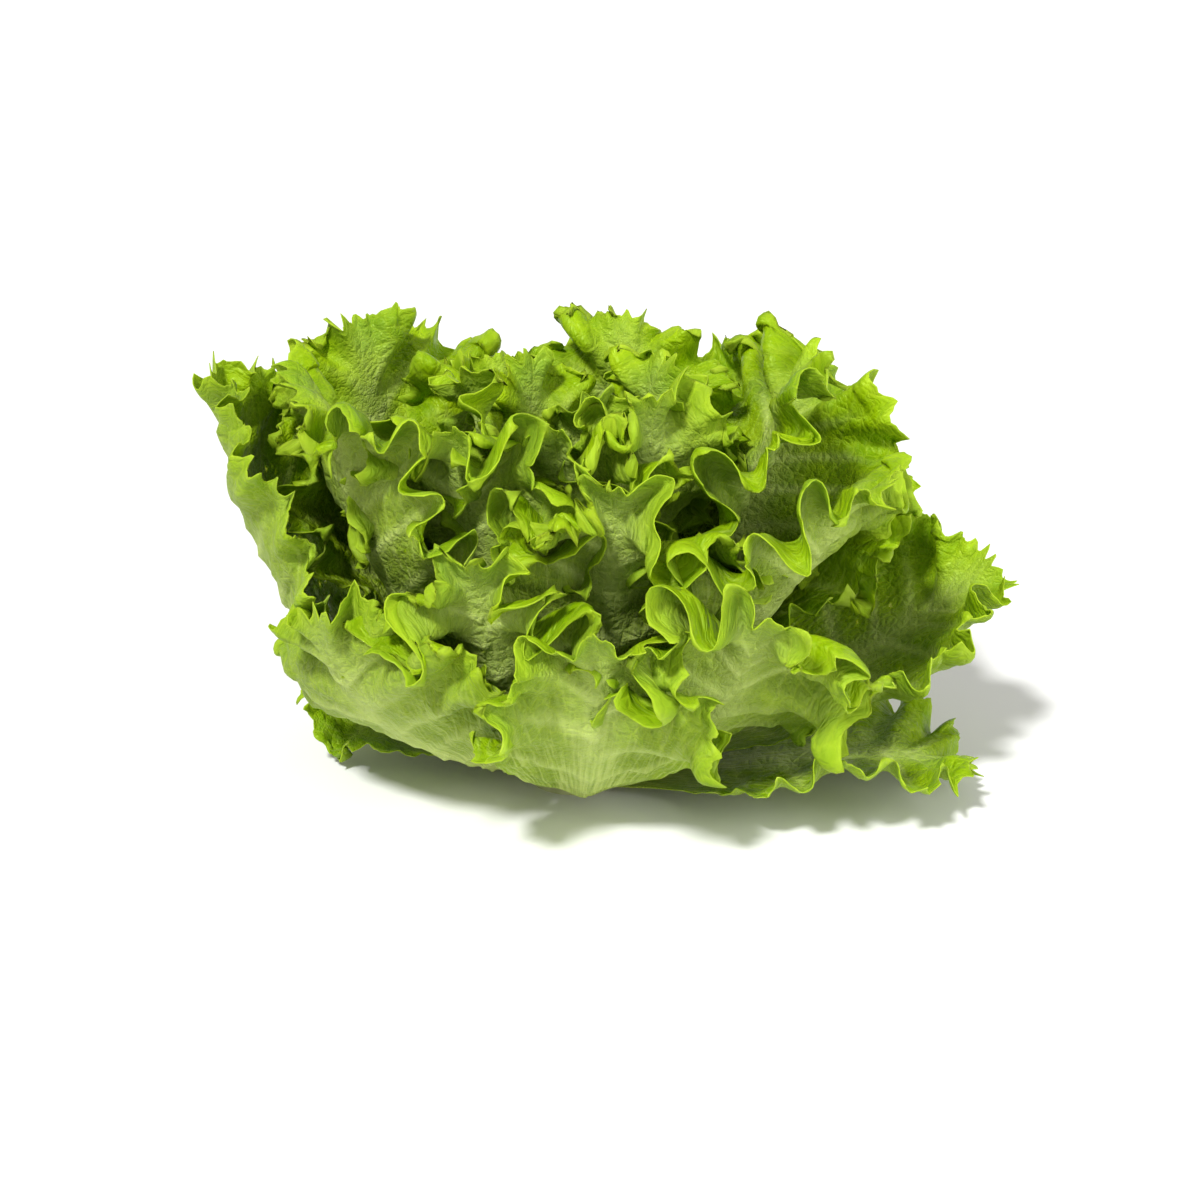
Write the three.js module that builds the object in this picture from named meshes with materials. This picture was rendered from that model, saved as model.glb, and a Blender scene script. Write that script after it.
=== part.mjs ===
// A head of lollo bionda lettuce, cut at the stem and standing on its cut face.
//
// Millimetres, +Z up. The origin is the centre of the cut face. Azimuths are in degrees
// about +Z: 0 points to the front (-Y), 90 to the right (+X), 180 to the back.
//
// The leaves grow in a spiral round a conical stem. Each one lies on a cup-shaped surface
// of its own, and the cups are nested from the heart outwards, so leaves that lie over
// each other never cross. A leaf's own coordinates are the distance along its midrib and
// the distance across the blade.
import * as THREE from "three";

// Planting plan: azimuth, length and width of each leaf, from the outermost and lowest to
// the heart. Neighbours in the plan stand well apart round the stem, as in a leaf spiral.
const PLAN = [
  [84, 106, 100],
  [-128, 84, 100],
  [6, 98, 72],
  [104, 134, 108],
  [-56, 104, 96],
  [40, 104, 86],
  [-94, 162, 108],
  [165, 130, 118],
  [-26, 98, 80],
  [130, 138, 116],
  [-124, 144, 110],
  [70, 124, 108],
  [-72, 142, 104],
  [14, 104, 84],
  [-172, 100, 104],
  [-42, 112, 88],
  [94, 128, 100],
  [-148, 108, 90],
  [-8, 102, 86],
  [154, 116, 80],
  [46, 104, 72],
  [-78, 104, 76],
  [112, 102, 70],
  [-140, 98, 64],
  [16, 92, 60],
];

// Stem: a cone with a flat cut face at its foot.
const STEM_FOOT_RADIUS = 14;
const STEM_TOP_RADIUS = 3.2;
const STEM_HEIGHT = 46;
const STEM_SIDES = 20;
const OUTER_ATTACH_HEIGHT = 3;
const HEART_ATTACH_HEIGHT = 36;
const ATTACH_GAP = 0.5;

// Lean of the cups from the vertical, in degrees, at stations along a leaf. The heart is
// the same all round. The bowl that most leaves form differs from side to side, and so
// does the skirt, the outermost cup, whose leaves lie out flat.
const STATIONS = [0, 40, 80, 120, 160];
const HEART_LEAN = [16, 6, -3, -6, 0];
const BOWL_LEAN = {
  front: [82, 42, 14, 24, 40],
  right: [86, 78, 68, 64, 74],
  back: [84, 54, 22, 10, 20],
  left: [86, 76, 46, 18, 34],
};
const SKIRT_LEAN = {
  front: [88, 60, 40, 40, 60],
  right: [88, 79, 88, 118, 135],
  back: [88, 80, 76, 84, 92],
  left: [88, 82, 78, 84, 92],
};
const BOWL_LEVEL = 0.92;

// Outline of a leaf: a petiole that widens into a fan, and the most that a leaf wraps
// round the head to either side, in degrees.
const WIDEST_AT = 0.64;
const PETIOLE_WIDTH_SHARE = 0.17;
const HEART_HALF_ANGLE = 56;
const OUTER_HALF_ANGLE = 80;

// Thickness of the midrib at its foot, its narrowing across the blade, and of the blade.
const OUTER_RIB_THICKNESS = 4;
const HEART_RIB_THICKNESS = 1.8;
const RIB_HALF_WIDTH = 6;
const BLADE_THICKNESS = 1.2;

// Frill: the margin waves across the surface, in from the edge to FRILL_SHARE of the blade.
const OUTER_FRILL_HEIGHT = 4.2;
const HEART_FRILL_HEIGHT = 2.4;
const FRILL_WAVES = 6;
const FRILL_STARTS_AT = 0.3;

// Mesh of a leaf: columns along its outline, rows from the edge in to the midrib.
const COLUMNS = 24;
const ROW_SHARES = [0, 0.22, 0.58, 1];
const OUTLINE_SAMPLES = 240;
const PROFILE_STEP = 2;

const radians = THREE.MathUtils.degToRad;
const { lerp, smoothstep, clamp } = THREE.MathUtils;

// Value at x of a line through (xs[i], ys[i]), flat beyond its ends.
function interpolate(xs, ys, x) {
  const last = xs.length - 1;
  const after = xs.findIndex((station) => station > x);
  if (after === 0) return ys[0];
  if (after < 0) return ys[last];
  const share = (x - xs[after - 1]) / (xs[after] - xs[after - 1]);
  return lerp(ys[after - 1], ys[after], share);
}

// Weight of each side of the head at an azimuth. The four weights add up to 1.
function sideWeights(azimuth) {
  const ahead = Math.cos(radians(azimuth));
  const rightward = Math.sin(radians(azimuth));
  return {
    front: Math.max(0, ahead) ** 2,
    right: Math.max(0, rightward) ** 2,
    back: Math.max(0, -ahead) ** 2,
    left: Math.max(0, -rightward) ** 2,
  };
}

function stemRadius(height) {
  return lerp(STEM_FOOT_RADIUS, STEM_TOP_RADIUS, height / STEM_HEIGHT);
}

function ribThickness(level) {
  return lerp(HEART_RIB_THICKNESS, OUTER_RIB_THICKNESS, level);
}

// Lean of the cup at nesting level 0 (heart) to 1 (outermost), at a distance along it.
function cupLean(level, azimuth, along) {
  const weights = sideWeights(azimuth);
  const leanOf = (table) => {
    let lean = 0;
    for (const side in weights) lean += weights[side] * interpolate(STATIONS, table[side], along);
    return lean;
  };
  const bowl = leanOf(BOWL_LEAN);
  if (level > BOWL_LEVEL) {
    return lerp(bowl, leanOf(SKIRT_LEAN), (level - BOWL_LEVEL) / (1 - BOWL_LEVEL));
  }
  return lerp(interpolate(STATIONS, HEART_LEAN, along), bowl, level / BOWL_LEVEL);
}

// Radius and height of a cup at a distance along it, found by walking up its profile.
function cupProfile(level, azimuth, along) {
  let height = lerp(HEART_ATTACH_HEIGHT, OUTER_ATTACH_HEIGHT, level);
  let radius = stemRadius(height) + ATTACH_GAP + ribThickness(level) / 2;
  const steps = Math.max(1, Math.ceil(along / PROFILE_STEP));
  for (let i = 0; i < steps; i++) {
    const lean = radians(cupLean(level, azimuth, ((i + 0.5) * along) / steps));
    radius += (Math.sin(lean) * along) / steps;
    height += (Math.cos(lean) * along) / steps;
  }
  return { radius, height };
}

function makeLeaf(index) {
  const level = 1 - index / (PLAN.length - 1);
  const [azimuth, length, width] = PLAN[index];
  return {
    level,
    azimuth,
    length,
    width,
    ribThickness: ribThickness(level),
    frillPhase: index * 2.4,
  };
}

// Point of a leaf's surface from its distances along and across the blade.
function surfacePoint(leaf, along, across) {
  const midrib = cupProfile(leaf.level, leaf.azimuth, along);
  const most = radians(lerp(HEART_HALF_ANGLE, OUTER_HALF_ANGLE, leaf.level));
  const turn = most * Math.tanh(across / midrib.radius / most);
  const azimuth = leaf.azimuth + THREE.MathUtils.radToDeg(turn);
  const { radius, height } = cupProfile(leaf.level, azimuth, along);
  const angle = radians(azimuth);
  return new THREE.Vector3(radius * Math.sin(angle), -radius * Math.cos(angle), height);
}

// Outline of one half of a blade, from the foot to the tip, as points evenly spaced
// along it: a petiole that widens into a round-topped fan.
function halfOutline(leaf, count) {
  const dense = [];
  const petiole = (leaf.width / 2) * PETIOLE_WIDTH_SHARE;
  const widest = leaf.length * WIDEST_AT;
  for (let i = 0; i <= OUTLINE_SAMPLES; i++) {
    const share = i / OUTLINE_SAMPLES;
    if (share < 0.5) {
      const along = widest * share * 2;
      const across = lerp(petiole, leaf.width / 2, smoothstep(along, 0.12 * widest, widest));
      dense.push(new THREE.Vector2(along, across));
    } else {
      const turn = (share - 0.5) * Math.PI;
      const along = widest + (leaf.length - widest) * Math.sin(turn);
      dense.push(new THREE.Vector2(along, (leaf.width / 2) * Math.cos(turn)));
    }
  }
  const curve = new THREE.SplineCurve(dense.filter((_, i) => i % 8 === 0));
  return curve.getSpacedPoints(count);
}

// Grid of a leaf's mid-surface: one column for each point of the outline, each with rows
// from the edge in to the midrib, where a side vein leaves it.
function leafGrid(leaf) {
  const half = halfOutline(leaf, COLUMNS / 2);
  const columns = [];
  for (let i = 0; i <= COLUMNS; i++) {
    const left = i <= COLUMNS / 2;
    const edge = half[left ? i : COLUMNS - i];
    const onRib = 0.86 * leaf.length * (edge.x / leaf.length) ** 1.5;
    const side = left ? -1 : 1;
    columns.push(
      ROW_SHARES.map((share) => ({
        along: lerp(edge.x, onRib, share),
        across: side * lerp(edge.y, 0, share),
        edgeShare: share,
        column: i,
      })),
    );
  }
  return columns;
}

// Height of the frill above the surface at a grid point: waves that fade in from the edge.
function frillHeight(leaf, point) {
  const rise = smoothstep(point.along / leaf.length, FRILL_STARTS_AT, FRILL_STARTS_AT + 0.25);
  const phase = (point.column / COLUMNS) * FRILL_WAVES * 2 * Math.PI + leaf.frillPhase;
  const height = lerp(HEART_FRILL_HEIGHT, OUTER_FRILL_HEIGHT, leaf.level);
  return height * rise * (1 - point.edgeShare) ** 3 * Math.sin(phase);
}

function thicknessAt(leaf, point) {
  const taper = 1 - point.along / leaf.length;
  const rib = Math.max(0, leaf.ribThickness - BLADE_THICKNESS) * taper;
  return BLADE_THICKNESS + rib * Math.exp(-((point.across / RIB_HALF_WIDTH) ** 2));
}

// Unit normal of a leaf's surface, on the face that looks away from the heart.
function surfaceNormal(leaf, along, across) {
  const reach = 0.5;
  const low = Math.max(0, along - reach);
  const up = surfacePoint(leaf, along + reach, across).sub(surfacePoint(leaf, low, across));
  const over = surfacePoint(leaf, along, across + reach);
  over.sub(surfacePoint(leaf, along, across - reach));
  return over.cross(up).normalize();
}

// Closed thin solid of a leaf: its inner and outer faces, joined round the edge.
function leafGeometry(leaf) {
  const grid = leafGrid(leaf);
  const rows = ROW_SHARES.length;
  const faces = [[], []];
  for (const column of grid) {
    for (const point of column) {
      const middle = surfacePoint(leaf, point.along, point.across);
      const normal = surfaceNormal(leaf, point.along, point.across);
      const half = thicknessAt(leaf, point) / 2;
      const lift = frillHeight(leaf, point);
      faces[0].push(middle.clone().addScaledVector(normal, lift + half));
      faces[1].push(middle.clone().addScaledVector(normal, lift - half));
    }
  }
  const positions = faces.flat().flatMap((p) => p.toArray());
  const inner = grid.length * rows;
  const at = (i, j) => {
    const onMidrib = j === rows - 1;
    return (onMidrib && i > COLUMNS / 2 ? COLUMNS - i : i) * rows + j;
  };
  const index = [];
  const quad = (a, b, c, d) => index.push(a, b, c, a, c, d);
  for (let i = 0; i < COLUMNS; i++) {
    for (let j = 0; j < rows - 1; j++) {
      const [a, b, c, d] = [at(i, j), at(i + 1, j), at(i + 1, j + 1), at(i, j + 1)];
      quad(a, d, c, b);
      quad(inner + a, inner + b, inner + c, inner + d);
    }
  }
  const rim = [];
  for (let i = 0; i <= COLUMNS; i++) rim.push(at(i, 0));
  for (let j = 1; j < rows; j++) rim.push(at(COLUMNS, j));
  for (let j = rows - 2; j > 0; j--) rim.push(at(0, j));
  rim.forEach((a, i) => {
    const b = rim[(i + 1) % rim.length];
    quad(a, b, inner + b, inner + a);
  });
  const geometry = new THREE.BufferGeometry();
  geometry.setAttribute("position", new THREE.Float32BufferAttribute(positions, 3));
  geometry.setIndex(index);
  geometry.computeVertexNormals();
  return geometry;
}

function leafMaterial(level) {
  const heart = new THREE.Color(0.36, 0.5, 0.04);
  const outer = new THREE.Color(0.2, 0.33, 0.05);
  const material = new THREE.MeshStandardMaterial({ roughness: 0.5, metalness: 0 });
  material.color.lerpColors(heart, outer, level);
  return material;
}

function stemMesh() {
  const profile = [
    new THREE.Vector2(0, 0),
    new THREE.Vector2(STEM_FOOT_RADIUS, 0),
    new THREE.Vector2(STEM_TOP_RADIUS, STEM_HEIGHT),
    new THREE.Vector2(0, STEM_HEIGHT + STEM_TOP_RADIUS),
  ];
  const geometry = new THREE.LatheGeometry(profile, STEM_SIDES);
  const material = new THREE.MeshStandardMaterial({
    color: new THREE.Color(0.55, 0.56, 0.3),
    roughness: 0.6,
    metalness: 0,
  });
  const mesh = new THREE.Mesh(geometry, material);
  mesh.name = "stem";
  mesh.rotation.x = Math.PI / 2;
  return mesh;
}

function leafMesh(index) {
  const leaf = makeLeaf(index);
  const mesh = new THREE.Mesh(leafGeometry(leaf), leafMaterial(leaf.level));
  mesh.name = `leaf_${String(index + 1).padStart(2, "0")}`;
  return mesh;
}

const head = new THREE.Group();
head.add(stemMesh());
for (let i = 0; i < PLAN.length; i++) head.add(leafMesh(i));

export default head;
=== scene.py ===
"""The look of a head of lollo bionda lettuce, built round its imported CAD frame.

Every leaf lies on the same cup as its CAD leaf does, and its margin is ruffled on top of
that in four sizes, from broad waves of the whole blade to a fine crimp, and is toothed.
Lengths in this file are in millimetres until a mesh is made. Azimuths are in degrees about
+Z: 0 points to the front (-Y), 90 to the right (+X), 180 to the back.
"""

import math

import bpy
import numpy as np
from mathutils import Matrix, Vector


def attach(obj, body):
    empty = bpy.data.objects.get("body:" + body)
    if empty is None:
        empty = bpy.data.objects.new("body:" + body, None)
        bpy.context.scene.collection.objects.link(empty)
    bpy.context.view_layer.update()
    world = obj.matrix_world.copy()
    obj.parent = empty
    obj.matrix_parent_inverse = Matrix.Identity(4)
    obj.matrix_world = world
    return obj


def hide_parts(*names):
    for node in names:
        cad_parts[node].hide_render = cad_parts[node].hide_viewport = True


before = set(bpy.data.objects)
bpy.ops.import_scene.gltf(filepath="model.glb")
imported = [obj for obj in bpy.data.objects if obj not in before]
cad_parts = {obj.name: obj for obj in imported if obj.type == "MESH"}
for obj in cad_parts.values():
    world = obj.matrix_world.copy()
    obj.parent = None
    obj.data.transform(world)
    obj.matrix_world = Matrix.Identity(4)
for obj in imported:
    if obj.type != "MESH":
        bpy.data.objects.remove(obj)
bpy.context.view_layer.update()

MM = 0.001
SEED = 7

# Planting plan, from the outermost leaf to the heart: azimuth, length and width, then the
# strength of the frill and how far the margin turns out (or in, below 0), in degrees.
PLAN = [
    (84, 108, 104, 0.45, -10),
    (-128, 84, 100, 0.6, 20),
    (6, 98, 72, 0.7, 35),
    (104, 134, 108, 0.55, -25),
    (-56, 104, 96, 1.0, -20),
    (40, 104, 86, 1.1, 56),
    (-94, 162, 108, 0.5, -30),
    (165, 130, 118, 0.9, 10),
    (-26, 98, 80, 1.1, 64),
    (130, 138, 116, 0.9, 30),
    (-124, 144, 110, 0.9, 30),
    (70, 124, 108, 1.1, 60),
    (-72, 142, 104, 0.9, 60),
    (14, 104, 84, 1.1, 68),
    (-172, 100, 104, 1.0, 35),
    (-42, 112, 88, 1.1, 64),
    (94, 128, 100, 1.1, 52),
    (-148, 108, 90, 1.1, 60),
    (-8, 102, 86, 1.1, 64),
    (154, 116, 80, 1.1, 60),
    (46, 104, 72, 1.1, 56),
    (-78, 104, 76, 1.1, 60),
    (112, 102, 70, 1.0, 60),
    (-140, 98, 64, 1.0, 50),
    (16, 92, 60, 1.0, 50),
]

# Stem and the heights at which leaves leave it.
STEM_FOOT_RADIUS = 14
STEM_TOP_RADIUS = 3.2
STEM_HEIGHT = 46
OUTER_ATTACH_HEIGHT = 3
HEART_ATTACH_HEIGHT = 36
ATTACH_GAP = 0.5

# Lean of the cups from the vertical at stations along a leaf.
STATIONS = [0, 40, 80, 120, 160]
HEART_LEAN = [16, 6, -3, -6, 0]
BOWL_LEAN = {
    "front": [82, 42, 14, 24, 40],
    "right": [86, 78, 68, 64, 74],
    "back": [84, 54, 22, 10, 20],
    "left": [86, 76, 46, 18, 34],
}
SKIRT_LEAN = {
    "front": [88, 60, 40, 40, 60],
    "right": [88, 79, 88, 118, 135],
    "back": [88, 80, 76, 84, 92],
    "left": [88, 82, 78, 84, 92],
}
BOWL_LEVEL = 0.92

# Outline of a leaf.
WIDEST_AT = 0.64
PETIOLE_WIDTH_SHARE = 0.3
HEART_HALF_ANGLE = 56
OUTER_HALF_ANGLE = 80

# Thickness of the blade and of the midrib at its foot.
BLADE_THICKNESS = 0.55
OUTER_RIB_THICKNESS = 4.0
HEART_RIB_THICKNESS = 1.8
RIB_HALF_WIDTH = 5.0

# How low a leaf's middle and its back may come over the floor.
LEAST_HEIGHT = 0.8
LEAST_BACK_HEIGHT = 0.2

# Ruffles along a margin: wave length, height, how far in they fade and the columns over
# which the directions are averaged. The crimp is the finest one.
RUFFLES = [(48, 7.5, 30, 25), (18, 7.4, 17, 37), (9.5, 3.4, 9, 29)]
CRIMP = (5.2, 0.7, 4, 15)

# Teeth along a margin: spacing and height, and how far in a tooth starts.
LARGE_TEETH = (5.2, 6.2)
SMALL_TEETH = (2.2, 1.5)
TOOTH_ROOT = 3.6

# Ribs that fan out from the foot: how many noise cells per unit of turn, and per mm along.
FAN_ACROSS = 60
FAN_ALONG = 0.05

# Mesh of a leaf.
COLUMN_STEP = 0.32
ROWS = 20
ROW_POWER = 1.75
FINE_ROWS = 7
MIDDLE_ROWS = 12
LONGEST_CUP = 200
CUP_STEP = 2
CUP_TURN = 110


def mix(a, b, share):
    return a + (b - a) * share


def smoothstep(x, low, high):
    share = np.clip((x - low) / (high - low), 0, 1)
    return share * share * (3 - 2 * share)


def side_weights(azimuth):
    """Weight of each side of the head at each azimuth. The four add up to 1."""
    ahead, rightward = np.cos(np.radians(azimuth)), np.sin(np.radians(azimuth))
    return {
        "front": np.maximum(0, ahead) ** 2,
        "right": np.maximum(0, rightward) ** 2,
        "back": np.maximum(0, -ahead) ** 2,
        "left": np.maximum(0, -rightward) ** 2,
    }


def rib_thickness(level):
    return mix(HEART_RIB_THICKNESS, OUTER_RIB_THICKNESS, level)


def cup_lean(level, azimuth, along):
    """Lean of the cup at nesting level 0 (heart) to 1 (outermost)."""
    weights = side_weights(azimuth)

    def lean_of(table):
        return sum(weights[side] * np.interp(along, STATIONS, table[side]) for side in weights)

    bowl = lean_of(BOWL_LEAN)
    if level > BOWL_LEVEL:
        return mix(bowl, lean_of(SKIRT_LEAN), (level - BOWL_LEVEL) / (1 - BOWL_LEVEL))
    return mix(np.interp(along, STATIONS, HEART_LEAN), bowl, level / BOWL_LEVEL)


class Cup:
    """Radius and height of a leaf's cup, tabulated by azimuth and distance along it."""

    def __init__(self, level, azimuth):
        self.azimuths = azimuth + np.arange(-CUP_TURN, CUP_TURN + 1, 2.0)
        steps = np.arange(0, LONGEST_CUP, CUP_STEP) + CUP_STEP / 2
        turns, walks = np.meshgrid(self.azimuths, steps, indexing="ij")
        lean = np.radians(cup_lean(level, turns, walks))
        height = mix(HEART_ATTACH_HEIGHT, OUTER_ATTACH_HEIGHT, level)
        stem = mix(STEM_FOOT_RADIUS, STEM_TOP_RADIUS, height / STEM_HEIGHT)
        radius = stem + ATTACH_GAP + rib_thickness(level) / 2
        start = np.zeros((len(self.azimuths), 1))
        self.radius = radius + np.hstack([start, np.cumsum(np.sin(lean) * CUP_STEP, axis=1)])
        self.height = height + np.hstack([start, np.cumsum(np.cos(lean) * CUP_STEP, axis=1)])

    def read(self, azimuth, along):
        """Radius and height at arrays of azimuths and distances, by bilinear steps."""
        x = np.clip((azimuth - self.azimuths[0]) / 2, 0, len(self.azimuths) - 1.001)
        y = np.clip(along / CUP_STEP, 0, self.radius.shape[1] - 1.001)
        i, j = x.astype(int), y.astype(int)
        u, v = x - i, y - j

        def at(table):
            low = mix(table[i, j], table[i, j + 1], v)
            high = mix(table[i + 1, j], table[i + 1, j + 1], v)
            return mix(low, high, u)

        return at(self.radius), at(self.height)


def surface(level, azimuth, along, across):
    """Points of a leaf's cup from distances along and across the blade."""
    cup = Cup(level, azimuth)
    midrib, _ = cup.read(np.full(along.shape, float(azimuth)), along)
    most = math.radians(mix(HEART_HALF_ANGLE, OUTER_HALF_ANGLE, level))
    turn = most * np.tanh(across / midrib / most)
    around = azimuth + np.degrees(turn)
    radius, height = cup.read(around, along)
    angle = np.radians(around)
    return np.stack([radius * np.sin(angle), -radius * np.cos(angle), height], axis=-1)


def half_outline(length, width):
    """Outline of one half of a blade, from the foot to the tip, and its arc length."""
    share = np.linspace(0, 1, 241)
    widest = length * WIDEST_AT
    petiole = width / 2 * PETIOLE_WIDTH_SHARE
    low = share < 0.5
    turn = (share - 0.5) * math.pi
    along = np.where(low, widest * share * 2, widest + (length - widest) * np.sin(turn))
    swell = smoothstep(along, 0.12 * widest, widest)
    across = np.where(low, mix(petiole, width / 2, swell), width / 2 * np.cos(turn))
    arc = np.concatenate([[0], np.cumsum(np.hypot(np.diff(along), np.diff(across)))])
    return along, across, arc


def smooth_noise(random, x, spacing):
    """A wandering value of about -1 to 1 at each place x, with bends this far apart."""
    knots = np.arange(x.min() - 2 * spacing, x.max() + 3 * spacing, spacing)
    values = random.uniform(-1, 1, len(knots))
    place = np.clip((x - knots[0]) / spacing, 0, len(knots) - 1.001)
    i = place.astype(int)
    u = place - i
    u = u * u * (3 - 2 * u)
    return mix(values[i], values[i + 1], u)


def unit(vectors):
    return vectors / np.maximum(np.linalg.norm(vectors, axis=-1, keepdims=True), 1e-9)


def axes_of(points, window=1):
    """Unit directions along the margin and inwards, and the normal out of the back face.

    A window over 1 averages them over that many columns, to carry a fold over fine ruffles.
    """
    along_margin = np.gradient(points, axis=0)
    inwards = np.gradient(points, axis=1)
    if window > 1:
        along_margin = averaged(along_margin, window)
        inwards = averaged(inwards, window)
    along_margin, inwards = unit(along_margin), unit(inwards)
    normal = unit(np.cross(inwards, along_margin))
    return along_margin, inwards, normal


def averaged(values, window):
    """Running mean along the margin."""
    half = window // 2
    padded = np.concatenate([values[:1].repeat(half, 0), values, values[-1:].repeat(half, 0)])
    total = np.cumsum(np.concatenate([0 * padded[:1], padded]), axis=0)
    return (total[2 * half + 1 :] - total[: -2 * half - 1]) / (2 * half + 1)


def turn_out(points, depth, room, rise, reach, angle):
    """Bends a margin outwards by an angle in radians at its edge, over this reach or, where
    the midrib is nearer, over the room there is."""
    _, inwards, normal = axes_of(points, 9)
    near = np.minimum(reach, 0.92 * room)[:, None]
    full = angle * rise * near / reach
    reach = near
    full = np.where(np.abs(full) < 0.01, 0.01, full)
    bent = np.maximum(0, reach - depth)
    bend = full * bent / reach
    out = reach / full * (1 - np.cos(bend))
    back = bent - reach / full * np.sin(bend)
    return points + out[..., None] * normal + back[..., None] * inwards


def ruffle(points, arc, depth, rise, random, wave, height, reach, window=5):
    """Ruffles a blade: waves along the margin that fade inwards and fold over each other."""
    pace = 1 + 0.3 * smooth_noise(random, arc, 2.2 * wave)
    phase = np.cumsum(np.gradient(arc) * pace) * 2 * math.pi / wave + random.uniform(0, 6)
    strength = height * (1 + 0.3 * smooth_noise(random, arc, 1.7 * wave))
    skew = 0.5 * smooth_noise(random, arc, 1.5 * wave)
    phase = phase[:, None] + skew[:, None] * depth / reach
    fade = np.exp(-((depth / reach) ** 1.4)) * rise
    tangent, _, normal = axes_of(points, window)
    wide = strength[:, None] * fade
    steep = wide * 2 * math.pi / wave
    fold = 0.1 * steep * wide / (1 + 0.3 * steep)
    across = wide * np.sin(phase)
    onward = -fold * np.sin(2 * phase)
    return points + across[..., None] * normal + onward[..., None] * tangent


def pucker(points, along, across, rise, random, height):
    """Swells a blade between its veins: low blisters a few millimetres across."""
    _, _, normal = axes_of(points, 5)
    total = 0
    for wave in (17, 11, 7):
        heading = random.uniform(0, math.pi)
        x = along * math.cos(heading) + across * math.sin(heading)
        y = across * math.cos(heading) - along * math.sin(heading)
        turns = 2 * math.pi / wave
        first = np.sin(turns * x + random.uniform(0, 6) + 0.8 * np.sin(0.6 * turns * y))
        total = total + wave / 17 * first * np.sin(0.8 * turns * y + random.uniform(0, 6))
    return points + (height * total * rise)[..., None] * normal


def teeth(arc, random, spacing, height):
    """Length that a margin's teeth add: sharp points with rounded bays between them."""
    pace = 1 + 0.4 * smooth_noise(random, arc, 3 * spacing)
    place = np.cumsum(np.gradient(arc) * pace) / spacing
    bay = np.abs(2 * (place % 1.0) - 1) ** 2.2
    size = 0.65 + 0.35 * smooth_noise(random, arc, 1.5 * spacing)
    return height * size * bay


def leaf_points(index):
    """Mid-surface of a ruffled leaf and the numbers that its mesh and material need."""
    azimuth, length, width, frill, reflex = PLAN[index]
    level = 1 - index / (len(PLAN) - 1)
    random = np.random.default_rng(SEED + index)
    out_along, out_across, out_arc = half_outline(length, width)
    half = int(round(out_arc[-1] / COLUMN_STEP / 8)) * 4
    columns = 2 * half
    spots = np.linspace(0, out_arc[-1], half + 1)
    edge_along = np.interp(spots, out_arc, out_along)
    edge_across = np.interp(spots, out_arc, out_across)
    edge_along = np.concatenate([edge_along, edge_along[-2::-1]])
    side = np.where(np.arange(columns + 1) <= half, -1.0, 1.0)
    edge_across = side * np.concatenate([edge_across, edge_across[-2::-1]])
    on_rib = 0.86 * length * (edge_along / length) ** 1.5
    share = (np.arange(ROWS + 1) / ROWS) ** ROW_POWER
    along = mix(edge_along[:, None], on_rib[:, None], share[None, :])
    across = edge_across[:, None] * (1 - share[None, :])
    reach = np.hypot(edge_along - on_rib, edge_across)
    depth = reach[:, None] * share[None, :]
    arc = np.arange(columns + 1) * (out_arc[-1] / half)
    points = surface(level, azimuth, along, across)

    start = mix(0.3, 0.46, level)
    rise = smoothstep(along / length, start, start + 0.24)
    turned = smoothstep(along / length, start, start + 0.4)
    off_rib = rise * smoothstep(np.abs(across), 1.0, 10.0)
    size = frill * mix(0.75, 1.0, level)
    uneven = 1 + 0.45 * smooth_noise(random, arc, 26)
    angle = math.radians(reflex) * uneven[:, None]
    points = turn_out(points, depth, reach, turned, mix(20, 28, level), angle)
    swell = smoothstep(along / length, 0.15, 0.45) * smoothstep(np.abs(across), 2, 10)
    points = pucker(points, along, across, swell, random, 0.8)
    for wave, height, fade_over, window in RUFFLES:
        height = height * size
        points = ruffle(points, arc, depth, off_rib, random, wave, height, fade_over, window)
    wave, height, fade_over, window = CRIMP
    points = ruffle(points, arc, depth, rise, random, wave, height * size, fade_over, window)
    _, inwards, _ = axes_of(points, 5)
    tooth = teeth(arc, random, *LARGE_TEETH) + teeth(arc, random, *SMALL_TEETH)
    grow = tooth[:, None] * np.exp(-depth / TOOTH_ROOT) * rise
    points = points - grow[..., None] * inwards
    points[..., 2] = np.maximum(points[..., 2], LEAST_HEIGHT)
    return {
        "points": points,
        "along": along,
        "across": across,
        "depth": depth,
        "arc": arc,
        "length": length,
        "level": level,
        "random": random,
    }


def vein_relief(leaf):
    """Height of the side veins on the back, which follow the columns of the grid."""
    arc = leaf["arc"][:, None]
    place = arc / 15 + 0.35 * smooth_noise(leaf["random"], leaf["arc"], 30)[:, None]
    near = np.abs(place % 1.0 - 0.5) * 15
    share = leaf["depth"] / leaf["depth"].max()
    return np.exp(-((near / (0.8 + 1.2 * share)) ** 2)) * smoothstep(share, 0.05, 0.6)


def shell(leaf):
    """Front and back faces of a leaf, offset from its mid-surface."""
    points, along, across = leaf["points"], leaf["along"], leaf["across"]
    _, _, normal = axes_of(points)
    taper = np.clip(1 - along / leaf["length"], 0, 1)
    rib = rib_thickness(leaf["level"]) * taper * np.exp(-((across / RIB_HALF_WIDTH) ** 2))
    leaf["rib"] = np.exp(-((across / (RIB_HALF_WIDTH * 1.3)) ** 2)) * taper ** 0.5
    leaf["vein"] = vein_relief(leaf)
    edge = np.exp(-leaf["depth"] / 1.2)
    half = BLADE_THICKNESS / 2 * (1 - 0.45 * edge)
    back = points + (half + 0.7 * rib + 1.1 * leaf["vein"])[..., None] * normal
    front = points - (half + 0.3 * rib - 0.3 * leaf["vein"])[..., None] * normal
    back[..., 2] = np.maximum(back[..., 2], LEAST_BACK_HEIGHT)
    return front, back


def row_step(row):
    """Columns that one face spans at a row: the mesh is finest along the margin."""
    if row <= FINE_ROWS:
        return 1
    return 2 if row <= MIDDLE_ROWS else 4


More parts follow.
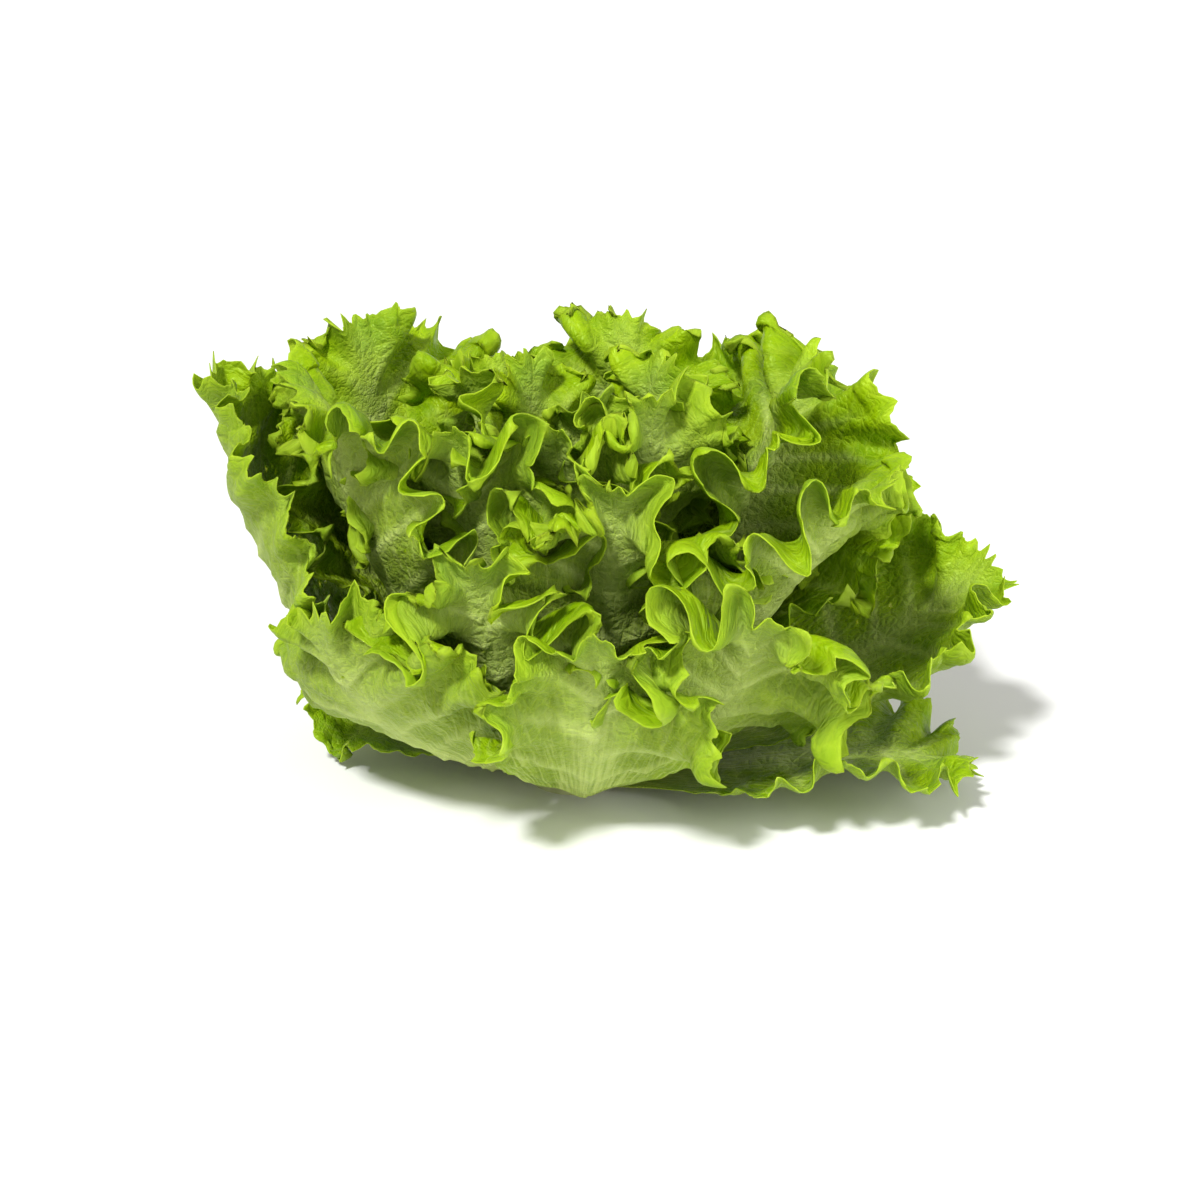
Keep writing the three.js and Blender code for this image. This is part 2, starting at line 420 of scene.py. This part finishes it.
def leaf_faces(columns, face_of):
    """Faces of one side of a leaf, as lists of grid places (column, row)."""
    faces = []
    for j in range(ROWS):
        fine, coarse = row_step(j), row_step(j + 1)
        for i in range(0, columns, coarse):
            a, b = (i, j), (i + coarse, j)
            c, d = (i + coarse, j + 1), (i, j + 1)
            if fine == coarse:
                faces.append((a, d, c, b))
            else:
                middle = (i + fine, j)
                faces.append((a, d, middle))
                faces.append((middle, d, c))
                faces.append((middle, c, b))
    return [tuple(face_of(place) for place in face) for face in faces]


def leaf_mesh(name, leaf):
    """One closed mesh from a leaf's two sides, joined round the rim."""
    front, back = shell(leaf)
    columns = front.shape[0] - 1
    half = columns // 2
    numbers = {}
    places = []

    def number(place, side):
        i, j = place
        if j == ROWS and i > half:
            i = columns - i
        key = (i, j, side)
        if key not in numbers:
            numbers[key] = len(places)
            places.append(key)
        return numbers[key]

    faces = leaf_faces(columns, lambda place: number(place, 1))
    faces += [f[::-1] for f in leaf_faces(columns, lambda place: number(place, 0))]
    rim = [(i, 0) for i in range(columns + 1)]
    rim += [(columns, j) for j in range(1, ROWS + 1)]
    rim += [(0, j) for j in range(ROWS - 1, 0, -1)]
    for a, b in zip(rim, rim[1:] + rim[:1]):
        faces.append((number(a, 1), number(b, 1), number(b, 0), number(a, 0)))
    i, j, side = np.array(places).T
    position = np.where(side[:, None] == 0, front[i, j], back[i, j])
    mesh = bpy.data.meshes.new(name)
    mesh.from_pydata((position * MM).tolist(), [], faces)
    mesh.shade_smooth()
    coordinates = np.stack([leaf["across"], leaf["along"], 0 * leaf["along"]], axis=-1)
    place = mesh.attributes.new("blade", "FLOAT_VECTOR", "POINT")
    place.data.foreach_set("vector", coordinates[i, j].ravel())
    turn = leaf["across"] / (leaf["along"] + 12)
    own = 0 * turn + 40 * leaf["level"]
    rays = np.stack([turn * FAN_ACROSS, leaf["along"] * FAN_ALONG, own], axis=-1)
    fan = mesh.attributes.new("fan", "FLOAT_VECTOR", "POINT")
    fan.data.foreach_set("vector", rays[i, j].ravel())
    values = {
        "margin": np.exp(-leaf["depth"] / 9.0)[i, j],
        # rim: the last millimetre or so of the margin, which the leaf material paints lighter,
        # partly the thin edge's own paler tone and partly a painted highlight
        "rim": np.exp(-leaf["depth"] / 0.9)[i, j],
        "rib": leaf["rib"][i, j],
        "vein": leaf["vein"][i, j],
        "foot": np.exp(-leaf["along"] / (0.3 * leaf["length"]))[i, j],
        "back": side.astype(float),
        "level": np.full(len(side), leaf["level"]),
    }
    for key, value in values.items():
        attribute = mesh.attributes.new(key, "FLOAT", "POINT")
        attribute.data.foreach_set("value", value)
    return mesh


# ---- Materials -------------------------------------------------------------------------


class Nodes:
    """A short way to add and join shader nodes."""

    def __init__(self, name):
        self.material = bpy.data.materials.new(name)
        self.material.use_nodes = True
        self.tree = self.material.node_tree
        self.shader = self.tree.nodes["Principled BSDF"]

    def add(self, kind, **inputs):
        node = self.tree.nodes.new(kind)
        for key, value in inputs.items():
            self.join(value, node.inputs[key.replace("_", " ")])
        return node

    def join(self, value, socket):
        if isinstance(value, bpy.types.NodeSocket):
            self.tree.links.new(value, socket)
        else:
            socket.default_value = value

    def attribute(self, name, output="Fac"):
        node = self.tree.nodes.new("ShaderNodeAttribute")
        node.attribute_name = name
        return node.outputs[output]

    def math(self, operation, a, b=0.0):
        node = self.tree.nodes.new("ShaderNodeMath")
        node.operation = operation
        self.join(a, node.inputs[0])
        self.join(b, node.inputs[1])
        return node.outputs[0]

    def scaled(self, value, low, high, to_low=0.0, to_high=1.0):
        node = self.tree.nodes.new("ShaderNodeMapRange")
        self.join(value, node.inputs["Value"])
        node.inputs["From Min"].default_value = low
        node.inputs["From Max"].default_value = high
        node.inputs["To Min"].default_value = to_low
        node.inputs["To Max"].default_value = to_high
        return node.outputs[0]

    def tint(self, colour, share, strength, goal):
        """A colour drawn towards another one by a share times a strength."""
        return self.blend(self.math("MULTIPLY", share, strength), colour, goal)

    def blend(self, share, a, b):
        node = self.tree.nodes.new("ShaderNodeMix")
        node.data_type = "RGBA"
        self.join(share, node.inputs["Factor"])
        self.join(a, node.inputs["A"])
        self.join(b, node.inputs["B"])
        return node.outputs["Result"]


def srgb(red, green, blue):
    """A colour given in the usual 0 to 255 steps, as linear values."""
    linear = []
    for value in (red, green, blue):
        share = value / 255
        linear.append(share / 12.92 if share <= 0.04045 else ((share + 0.055) / 1.055) ** 2.4)
    return (*linear, 1.0)


def leaf_material():
    n = Nodes("lettuce_leaf")
    blade = n.attribute("blade", "Vector")
    margin, rib, vein = n.attribute("margin"), n.attribute("rib"), n.attribute("vein")
    foot, back, level = n.attribute("foot"), n.attribute("back"), n.attribute("level")

    patches = n.add("ShaderNodeTexNoise", Vector=blade, Scale=0.06, Detail=3.0)
    mottle = n.add("ShaderNodeTexNoise", Vector=blade, Scale=0.5, Detail=4.0)
    net = n.add("ShaderNodeTexVoronoi", Vector=blade, Scale=0.3)
    net.feature = "DISTANCE_TO_EDGE"
    fine_net = n.add("ShaderNodeTexVoronoi", Vector=blade, Scale=0.9)
    fine_net.feature = "DISTANCE_TO_EDGE"
    in_net = n.scaled(net.outputs["Distance"], 0.0, 0.12, 1.0, 0.0)
    in_fine_net = n.scaled(fine_net.outputs["Distance"], 0.0, 0.1, 1.0, 0.0)

    fan = n.attribute("fan", "Vector")
    streak = n.add("ShaderNodeTexNoise", Vector=fan, Scale=1.0, Detail=3.0)
    ribbed = n.scaled(foot, 0.03, 0.35)
    in_streak = n.math("MULTIPLY", n.scaled(streak.outputs["Fac"], 0.5, 0.66), ribbed)
    between = n.math("MULTIPLY", n.scaled(streak.outputs["Fac"], 0.3, 0.47, 1.0, 0.0), ribbed)

    light = n.scaled(patches.outputs["Fac"], 0.35, 0.65)
    inner = n.blend(light, srgb(104, 136, 0), srgb(134, 162, 6))
    frill = n.blend(light, srgb(106, 144, 0), srgb(148, 180, 0))
    colour = n.blend(n.scaled(margin, 0.05, 0.6), inner, frill)
    colour = n.tint(colour, level, 0.3, srgb(112, 142, 16))
    inside = n.scaled(margin, 0.1, 0.9, 1.0, 0.25)
    colour = n.tint(colour, n.math("MULTIPLY", back, inside), 0.7, srgb(134, 154, 66))
    colour = n.tint(colour, in_net, 0.2, srgb(176, 200, 40))
    colour = n.tint(colour, in_fine_net, 0.1, srgb(180, 204, 40))
    colour = n.tint(colour, n.scaled(mottle.outputs["Fac"], 0.45, 0.7), 0.3, srgb(94, 130, 0))
    pale = srgb(196, 212, 124)
    colour = n.tint(colour, vein, 0.6, pale)
    colour = n.tint(colour, rib, 0.75, pale)
    colour = n.blend(n.scaled(foot, 0.25, 1.0, 0.0, 0.85), colour, srgb(180, 194, 104))
    colour = n.tint(colour, in_streak, 0.75, srgb(196, 210, 122))
    colour = n.tint(colour, between, 0.55, srgb(98, 128, 10))
    dirt = n.add("ShaderNodeTexNoise", Vector=blade, Scale=0.9, Detail=2.0)
    dirty = n.math("MULTIPLY", n.scaled(dirt.outputs["Fac"], 0.74, 0.78), n.scaled(foot, 0.3, 0.6))
    colour = n.blend(dirty, colour, srgb(74, 60, 32))
    # Lighter thin rim along the margin: partly the edge's own paler tone, partly a painted
    # highlight.
    colour = n.tint(colour, n.attribute("rim"), 0.3, srgb(184, 208, 60))
    n.join(colour, n.shader.inputs["Base Color"])

    rough = n.scaled(mottle.outputs["Fac"], 0.3, 0.7, 0.34, 0.5)
    rough = n.math("ADD", n.math("MULTIPLY", back, 0.14), rough)
    n.join(rough, n.shader.inputs["Roughness"])
    n.shader.inputs["Specular IOR Level"].default_value = 0.32
    n.shader.inputs["Specular Tint"].default_value = (0.75, 0.95, 0.25, 1)
    n.shader.inputs["Subsurface Weight"].default_value = 0.3
    n.shader.inputs["Subsurface Radius"].default_value = (0.9, 1.0, 0.25)
    n.shader.inputs["Subsurface Scale"].default_value = 0.0016

    swell = n.scaled(net.outputs["Distance"], 0.0, 0.3)
    fine = n.scaled(fine_net.outputs["Distance"], 0.0, 0.25)
    relief = n.math("ADD", n.math("MULTIPLY", swell, 1.0), n.math("MULTIPLY", fine, 0.35))
    relief = n.math("ADD", relief, n.math("MULTIPLY", mottle.outputs["Fac"], 0.5))
    ridges = n.math("MULTIPLY", streak.outputs["Fac"], ribbed)
    relief = n.math("ADD", relief, n.math("MULTIPLY", ridges, 4.0))
    bump = n.add("ShaderNodeBump", Height=relief, Strength=0.55, Distance=0.0009)
    n.join(bump.outputs["Normal"], n.shader.inputs["Normal"])
    return n.material


def stem_material():
    n = Nodes("lettuce_stem")
    place = n.add("ShaderNodeTexCoord").outputs["Object"]
    grain = n.add("ShaderNodeTexNoise", Vector=place, Scale=220.0, Detail=5.0)
    spots = n.add("ShaderNodeTexNoise", Vector=place, Scale=60.0, Detail=3.0)
    colour = n.blend(grain.outputs["Fac"], srgb(206, 208, 158), srgb(168, 178, 112))
    colour = n.blend(n.scaled(spots.outputs["Fac"], 0.52, 0.72), colour, srgb(164, 136, 84))
    n.join(colour, n.shader.inputs["Base Color"])
    n.shader.inputs["Roughness"].default_value = 0.55
    bump = n.add("ShaderNodeBump", Height=grain.outputs["Fac"], Strength=0.4, Distance=0.0005)
    n.join(bump.outputs["Normal"], n.shader.inputs["Normal"])
    return n.material


def floor_material():
    n = Nodes("floor")
    n.shader.inputs["Base Color"].default_value = (0.86, 0.86, 0.85, 1)
    n.shader.inputs["Roughness"].default_value = 0.9
    return n.material


# ---- Build -----------------------------------------------------------------------------


def build_leaves():
    material = leaf_material()
    for index in range(len(PLAN)):
        node = f"leaf_{index + 1:02d}"
        mesh = leaf_mesh("frilled_" + node, leaf_points(index))
        mesh.materials.append(material)
        piece = bpy.data.objects.new("frilled_" + node, mesh)
        bpy.context.scene.collection.objects.link(piece)
        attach(piece, "root")
        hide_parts(node)


def dress_stem():
    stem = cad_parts["stem"]
    stem.data.materials.clear()
    stem.data.materials.append(stem_material())


def build_floor():
    mesh = bpy.data.meshes.new("floor")
    reach = 12.0
    corners = [(-reach, -reach, 0), (reach, -reach, 0), (reach, reach, 0), (-reach, reach, 0)]
    mesh.from_pydata(corners, [], [(0, 1, 2, 3)])
    mesh.materials.append(floor_material())
    floor = bpy.data.objects.new("floor", mesh)
    bpy.context.scene.collection.objects.link(floor)


# ---- Camera and light ------------------------------------------------------------------

CAMERA_ELEVATION = 20
CAMERA_DISTANCE = 0.84
LENS = 80
# Middle of the view, measured from the stem's foot: to the right, and up in the view.
VIEW_RIGHT = 0.0079
VIEW_UP = 0.0558


def aim(thing, place, target):
    thing.location = place
    thing.rotation_euler = (Vector(target) - Vector(place)).to_track_quat("-Z", "Y").to_euler()


def build_camera():
    tilt = math.radians(CAMERA_ELEVATION)
    away = Vector((0, -math.cos(tilt), math.sin(tilt)))
    up = Vector((0, math.sin(tilt), math.cos(tilt)))
    middle = Vector((VIEW_RIGHT, 0, 0)) + up * VIEW_UP
    data = bpy.data.cameras.new("camera")
    data.lens = LENS
    camera = bpy.data.objects.new("camera", data)
    bpy.context.scene.collection.objects.link(camera)
    aim(camera, middle + away * CAMERA_DISTANCE, middle)
    bpy.context.scene.camera = camera


def add_light(name, place, size, power):
    data = bpy.data.lights.new(name, "AREA")
    data.shape = "SQUARE"
    data.size = size
    data.energy = power
    light = bpy.data.objects.new(name, data)
    bpy.context.scene.collection.objects.link(light)
    aim(light, place, (0, 0, 0.07))


def build_light():
    sun = bpy.data.lights.new("key", "SUN")
    sun.energy = 3.6
    sun.angle = math.radians(9)
    key = bpy.data.objects.new("key", sun)
    bpy.context.scene.collection.objects.link(key)
    aim(key, (-0.5, -0.85, 1.35), (0, 0, 0.07))
    add_light("fill", (1.3, -0.9, 0.7), 1.0, 15)
    world = bpy.data.worlds.new("studio")
    bpy.context.scene.world = world
    world.use_nodes = True
    background = world.node_tree.nodes["Background"]
    background.inputs["Color"].default_value = (1.0, 0.985, 0.95, 1)
    background.inputs["Strength"].default_value = 0.43


build_leaves()
dress_stem()
build_floor()
build_camera()
build_light()
bpy.context.scene.view_settings.view_transform = "Standard"
